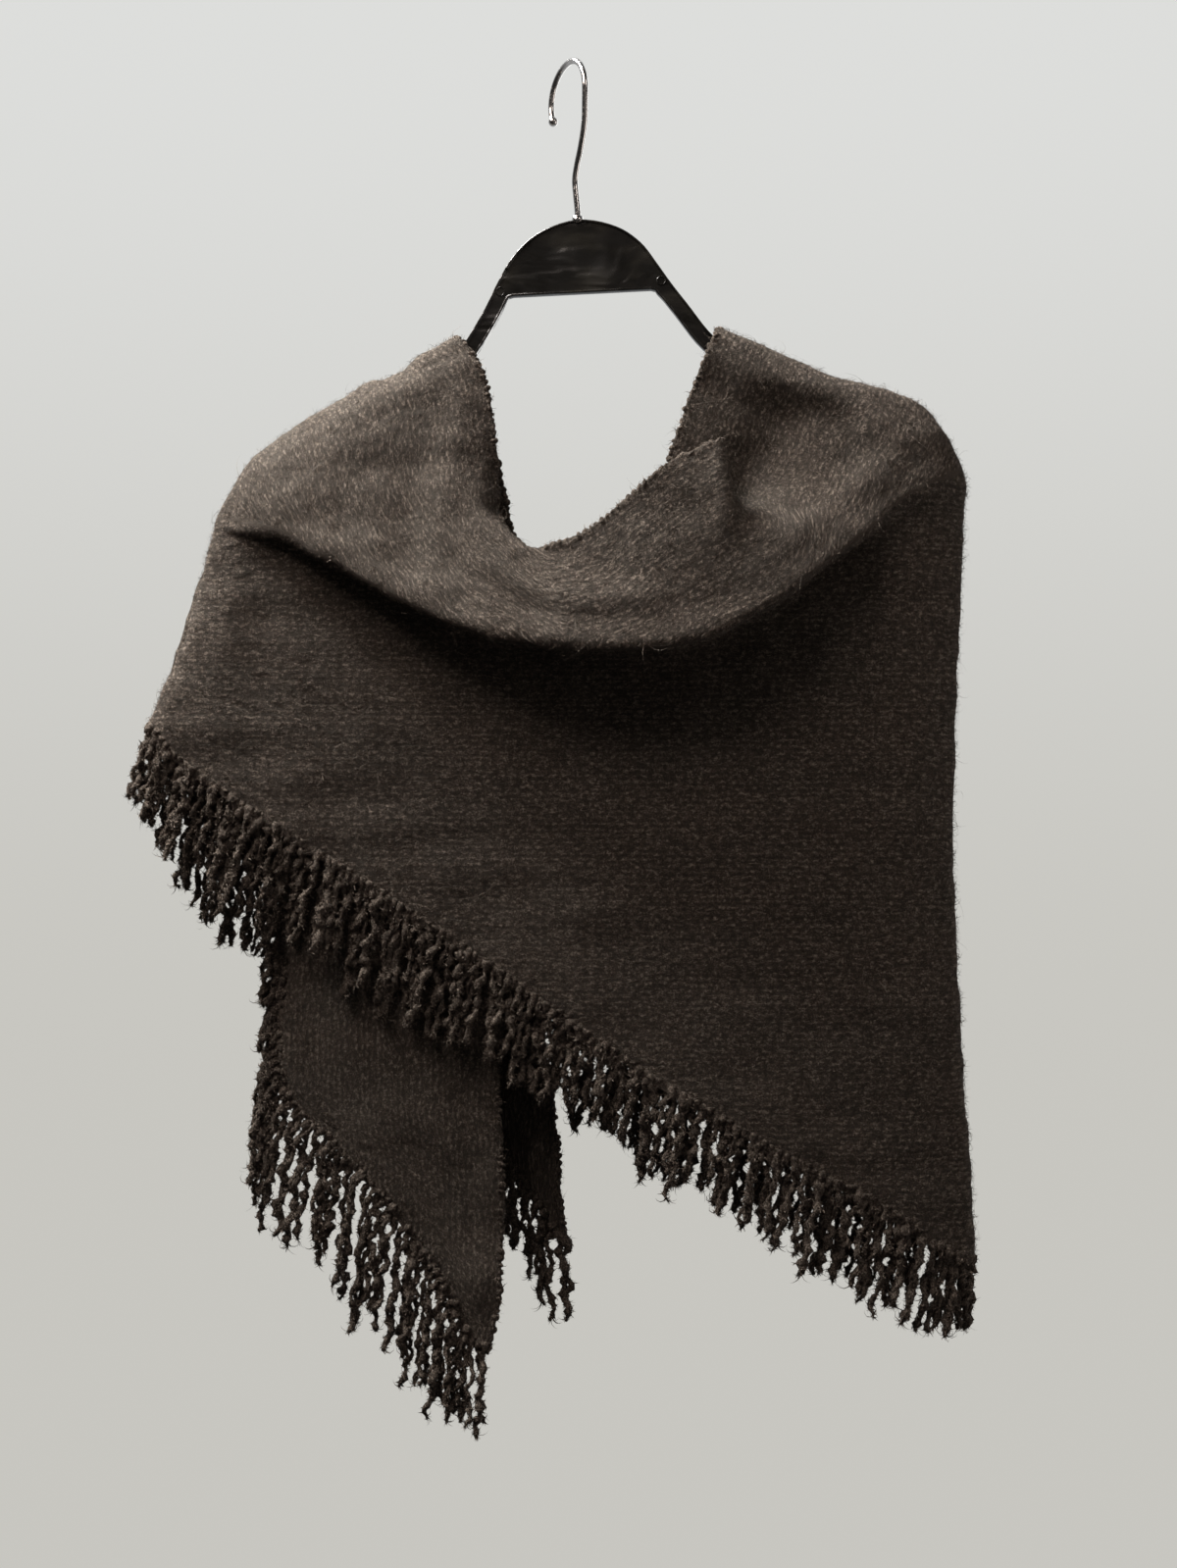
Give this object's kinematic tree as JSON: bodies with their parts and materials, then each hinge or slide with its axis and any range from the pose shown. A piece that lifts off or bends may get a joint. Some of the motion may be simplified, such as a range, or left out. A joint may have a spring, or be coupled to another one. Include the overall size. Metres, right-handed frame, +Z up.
{
  "type": "fringed knit triangle shawl on a hanger",
  "caption": "Fringed dark wool knit triangle shawl folded over a black plastic hanger, cowl neck in front, both ends crossed over one shoulder.",
  "frame": {"origin": "the top of the inside of the hanger's hook, where it sits on a rail", "axes": "+Z up, +X to the right of someone who faces the front, -Y out of the front"},
  "size_m": [0.4972, 0.1043, 0.8073],
  "materials": {
    "wool": "felted dark brown heather knit",
    "plastic": "moulded gloss black",
    "chrome": "bright plated wire"
  },
  "bodies": {
    "root": {"front_drape": "wool", "back_drape": "wool", "outer_tail": "wool", "inner_tail": "wool", "fringe_front": "wool", "fringe_back": "wool", "fringe_outer_tail": "wool", "fringe_inner_tail": "wool", "hanger": "plastic", "hook": "chrome"}
  },
  "joints": []
}
